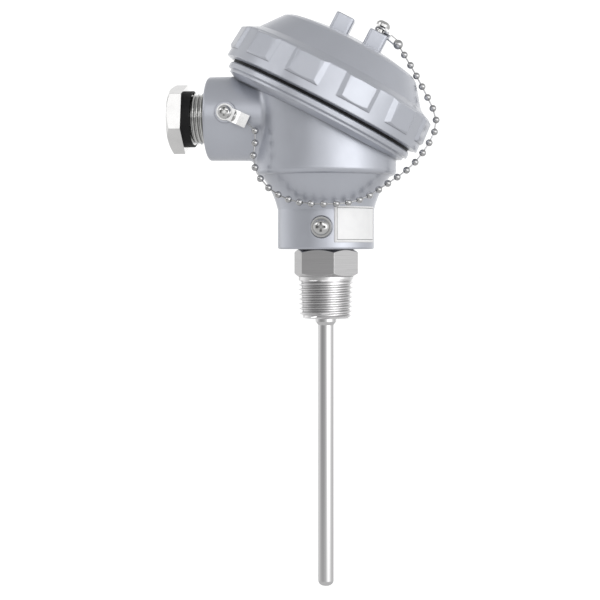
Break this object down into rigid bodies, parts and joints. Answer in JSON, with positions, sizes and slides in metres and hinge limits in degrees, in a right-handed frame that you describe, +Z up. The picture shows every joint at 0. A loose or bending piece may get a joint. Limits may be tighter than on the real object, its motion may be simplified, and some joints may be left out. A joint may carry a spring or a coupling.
{
  "type": "rtd probe with connection head",
  "caption": "Straight temperature probe with a hex process nipple, a cast connection head, a tilted screw cap on a ball chain and a side cable gland.",
  "frame": {"origin": "on the probe axis at the face of the hex that meets the process thread", "axes": "+Z up the probe to the head, -X out of the cable boss, the cap leans to +X"},
  "size_m": [0.1038, 0.083, 0.2201],
  "materials": {
    "paint": "smooth satin blue-grey paint on cast aluminium",
    "stainless": "fine turned stainless steel",
    "sheath": "drawn stainless steel tube, lengthwise grain",
    "nickel": "bright nickel plate",
    "chain": "bright nickel-plated steel",
    "screw": "zinc-plated steel",
    "rubber": "black rubber",
    "ceramic": "glazed steatite",
    "brass": "turned brass",
    "wire": "white insulated wire"
  },
  "bodies": {
    "head": {"head_body": "paint", "lower_chain_beads": "chain", "lower_chain_links": "chain", "boss_chain_tab": "chain", "boss_chain_screw": "screw", "gland_washer": "nickel", "gland_grommet": "rubber", "earth_washer": "screw", "earth_screw": "screw", "hex_nipple": "stainless", "sheath_tube": "sheath", "rtd_element": "ceramic", "sheath_insulator": "ceramic", "lead_wires": "wire", "terminal_block": "ceramic", "block_screws": "screw", "terminals": "brass", "terminal_screws": "brass"},
    "cap_lift": {"upper_chain_beads": "chain", "upper_chain_links": "chain"},
    "cap_rise": {"cap_gasket": "rubber"},
    "cap": {"screw_cap": "paint", "cap_chain_screw": "screw"},
    "chain_tab": {"cap_chain_tab": "chain"},
    "gland_ring": {"gland_seal_ring": "rubber"},
    "gland": {"gland_screw": "nickel"}
  },
  "joints": [
    {"name": "cap_lift_off", "type": "slide", "parent": "head", "child": "cap_lift", "axis": [0.4617, 0, 0.887], "range_m": [0, 0.02], "deforming": ["upper_chain_beads", "upper_chain_links", "lower_chain_beads", "lower_chain_links"]},
    {"name": "cap_rise", "type": "slide", "parent": "cap_lift", "child": "cap_rise", "axis": [0.4617, 0, 0.887], "range_m": [0, 0.006]},
    {"name": "cap_turn", "type": "hinge", "parent": "cap_rise", "child": "cap", "pos_m": [-0.0022, 0, 0.0649], "axis": [0.4617, 0, 0.887], "range_deg": [0, 1080]},
    {"name": "chain_tab_swivel", "type": "hinge", "parent": "cap", "child": "chain_tab", "pos_m": [0.02108, 0.00046, 0.09427], "axis": [0.4617, 0, 0.887], "range_deg": [-40, 40]},
    {"name": "gland_travel", "type": "slide", "parent": "head", "child": "gland_ring", "axis": [-1, 0, 0], "range_m": [-0.0045, 0.009]},
    {"name": "gland_turn", "type": "hinge", "parent": "gland_ring", "child": "gland", "pos_m": [-0.0545, 0, 0.061], "axis": [-1, 0, 0], "range_deg": [-1080, 2160]}
  ],
  "couplings": [
    {"joint": "cap_rise", "follows": "cap_turn", "m_per_rad": 0.00031831},
    {"joint": "gland_travel", "follows": "gland_turn", "m_per_rad": 0.00023873}
  ]
}
